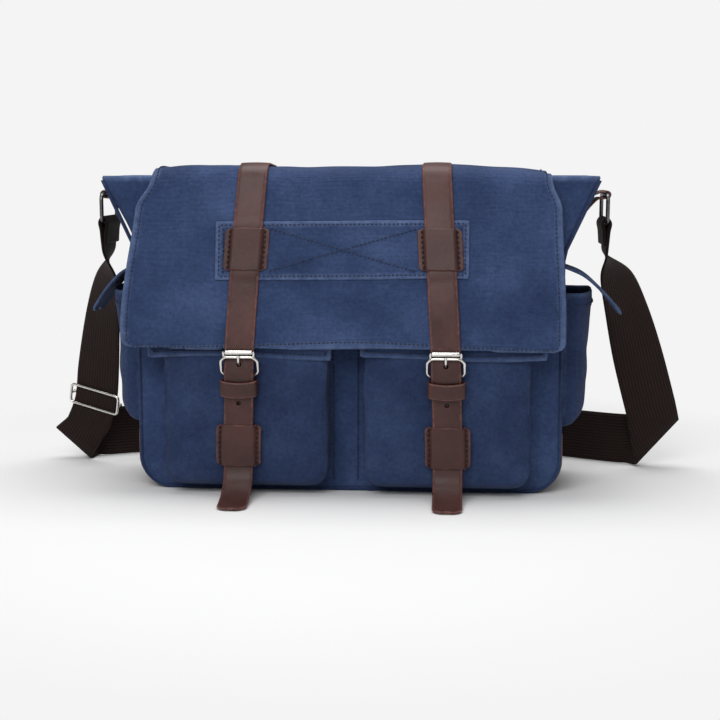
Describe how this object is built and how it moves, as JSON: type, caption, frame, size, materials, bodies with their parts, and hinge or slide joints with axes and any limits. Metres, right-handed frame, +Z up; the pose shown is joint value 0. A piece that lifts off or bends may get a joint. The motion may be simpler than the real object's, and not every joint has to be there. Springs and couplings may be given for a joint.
{
  "type": "messenger bag",
  "caption": "Washed canvas messenger bag with leather buckle straps, front and side pockets and a webbing shoulder strap.",
  "frame": {"origin": "centre of the base's underside", "axes": "+X to the right seen from the front, -Y towards the front, +Z up"},
  "size_m": [0.6398, 0.3055, 0.3021],
  "materials": {
    "canvas": "stone-washed cotton canvas with worn seams",
    "lining_cloth": "plain woven lining",
    "strap_leather": "smooth waxed brown leather with raw edges",
    "base_leather": "smooth brown leather",
    "webbing": "ribbed dark brown webbing",
    "nickel": "polished nickel",
    "gunmetal": "dark plated steel",
    "board": "stiffener board"
  },
  "bodies": {
    "bag": {"front_panel": "canvas", "back_panel": "canvas", "leather_base": "base_leather", "gusset_left": "canvas", "gusset_right": "canvas", "base_board": "board", "lining": "lining_cloth", "laptop_divider": "lining_cloth", "flap_back_strip": "canvas", "strap_back_left": "strap_leather", "strap_back_right": "strap_leather", "pocket_face_left": "canvas", "pocket_gusset_left": "canvas", "pocket_face_right": "canvas", "pocket_gusset_right": "canvas", "snap_socket_left": "gunmetal", "snap_socket_right": "gunmetal", "side_pocket_left": "canvas", "side_pocket_right": "canvas", "ring_tab_left": "strap_leather", "ring_tab_right": "strap_leather"},
    "flap_top": {"flap_top": "canvas", "strap_top_left": "strap_leather", "strap_top_right": "strap_leather"},
    "flap_front": {"flap_front": "canvas", "reinforcement_band": "canvas", "strap_front_left": "strap_leather", "strap_front_right": "strap_leather", "keeper_patch_left": "strap_leather", "keeper_patch_right": "strap_leather"},
    "pocket_flap_left": {"front_pocket_flap_left": "canvas"},
    "closure_left": {"strap_tongue_left": "strap_leather", "chape_left": "strap_leather", "buckle_frame_left": "nickel", "keeper_loop_left": "strap_leather", "lower_patch_left": "strap_leather", "snap_stud_left": "gunmetal"},
    "roller_left": {"buckle_roller_left": "nickel"},
    "prong_left": {"buckle_prong_left": "nickel"},
    "side_flap_left": {"side_pocket_flap_left": "canvas"},
    "ring_left": {"strap_ring_left": "gunmetal"},
    "pocket_flap_right": {"front_pocket_flap_right": "canvas"},
    "closure_right": {"strap_tongue_right": "strap_leather", "chape_right": "strap_leather", "buckle_frame_right": "nickel", "keeper_loop_right": "strap_leather", "lower_patch_right": "strap_leather", "snap_stud_right": "gunmetal"},
    "roller_right": {"buckle_roller_right": "nickel"},
    "prong_right": {"buckle_prong_right": "nickel"},
    "side_flap_right": {"side_pocket_flap_right": "canvas"},
    "ring_right": {"strap_ring_right": "gunmetal"},
    "shoulder_strap": {"shoulder_strap_right": "webbing", "shoulder_strap_left": "webbing", "shoulder_strap_back": "webbing", "strap_end_loop_left": "webbing", "strap_end_loop_right": "webbing", "strap_slider": "nickel"}
  },
  "joints": [
    {"name": "flap_top_fold", "type": "hinge", "parent": "bag", "child": "flap_top", "pos_m": [0, 0.0612, 0.3024], "axis": [-1, 0, 0], "range_deg": [0, 100]},
    {"name": "flap_front_fold", "type": "hinge", "parent": "flap_top", "child": "flap_front", "pos_m": [0, -0.05938, 0.3024], "axis": [-1, 0, 0], "range_deg": [0, 80]},
    {"name": "pocket_flap_left_lift", "type": "hinge", "parent": "bag", "child": "pocket_flap_left", "pos_m": [-0.0965, -0.0531, 0.183], "axis": [-1, 0, 0], "range_deg": [0, 40]},
    {"name": "pocket_flap_right_lift", "type": "hinge", "parent": "bag", "child": "pocket_flap_right", "pos_m": [0.0965, -0.0531, 0.183], "axis": [-1, 0, 0], "range_deg": [0, 40]},
    {"name": "closure_left_lift", "type": "hinge", "parent": "flap_front", "child": "closure_left", "pos_m": [-0.09476, -0.09505, 0.135], "axis": [-1, 0, 0], "range_deg": [0, 70]},
    {"name": "closure_right_lift", "type": "hinge", "parent": "flap_front", "child": "closure_right", "pos_m": [0.08976, -0.09505, 0.135], "axis": [-1, 0, 0], "range_deg": [0, 70]},
    {"name": "roller_left_spin", "type": "hinge", "parent": "closure_left", "child": "roller_left", "pos_m": [-0.09476, -0.09505, 0.135], "axis": [1, 0, 0], "continuous": true},
    {"name": "roller_right_spin", "type": "hinge", "parent": "closure_right", "child": "roller_right", "pos_m": [0.08976, -0.09505, 0.135], "axis": [1, 0, 0], "continuous": true},
    {"name": "prong_left_play", "type": "hinge", "parent": "closure_left", "child": "prong_left", "pos_m": [-0.09543, -0.08606, 0.11275], "axis": [-1, 0, 0], "range_deg": [0, 2]},
    {"name": "prong_right_play", "type": "hinge", "parent": "closure_right", "child": "prong_right", "pos_m": [0.09043, -0.08606, 0.11275], "axis": [-1, 0, 0], "range_deg": [0, 2]},
    {"name": "side_flap_left_fold", "type": "hinge", "parent": "bag", "child": "side_flap_left", "pos_m": [-0.1969, -0.02, 0.21], "axis": [0, 1, 0], "range_deg": [0, 18]},
    {"name": "side_flap_right_fold", "type": "hinge", "parent": "bag", "child": "side_flap_right", "pos_m": [0.1969, -0.02, 0.21], "axis": [0, -1, 0], "range_deg": [0, 18]},
    {"name": "ring_left_swing", "type": "hinge", "parent": "bag", "child": "ring_left", "pos_m": [-0.23716, 0.015, 0.273], "axis": [0, 1, 0], "range_deg": [-12, 12]},
    {"name": "ring_right_swing", "type": "hinge", "parent": "bag", "child": "ring_right", "pos_m": [0.23716, 0.015, 0.273], "axis": [0, 1, 0], "range_deg": [-12, 12]},
    {"name": "strap_sway", "type": "hinge", "parent": "ring_left", "child": "shoulder_strap", "pos_m": [-0.23716, 0.015, 0.248], "axis": [0, 1, 0], "range_deg": [-12, 12]}
  ],
  "couplings": [
    {"joint": "pocket_flap_left_lift", "follows": "flap_front_fold", "ratio": 0.5},
    {"joint": "pocket_flap_right_lift", "follows": "flap_front_fold", "ratio": 0.5},
    {"joint": "ring_right_swing", "follows": "ring_left_swing", "ratio": 1},
    {"joint": "strap_sway", "follows": "ring_left_swing", "ratio": -1}
  ]
}
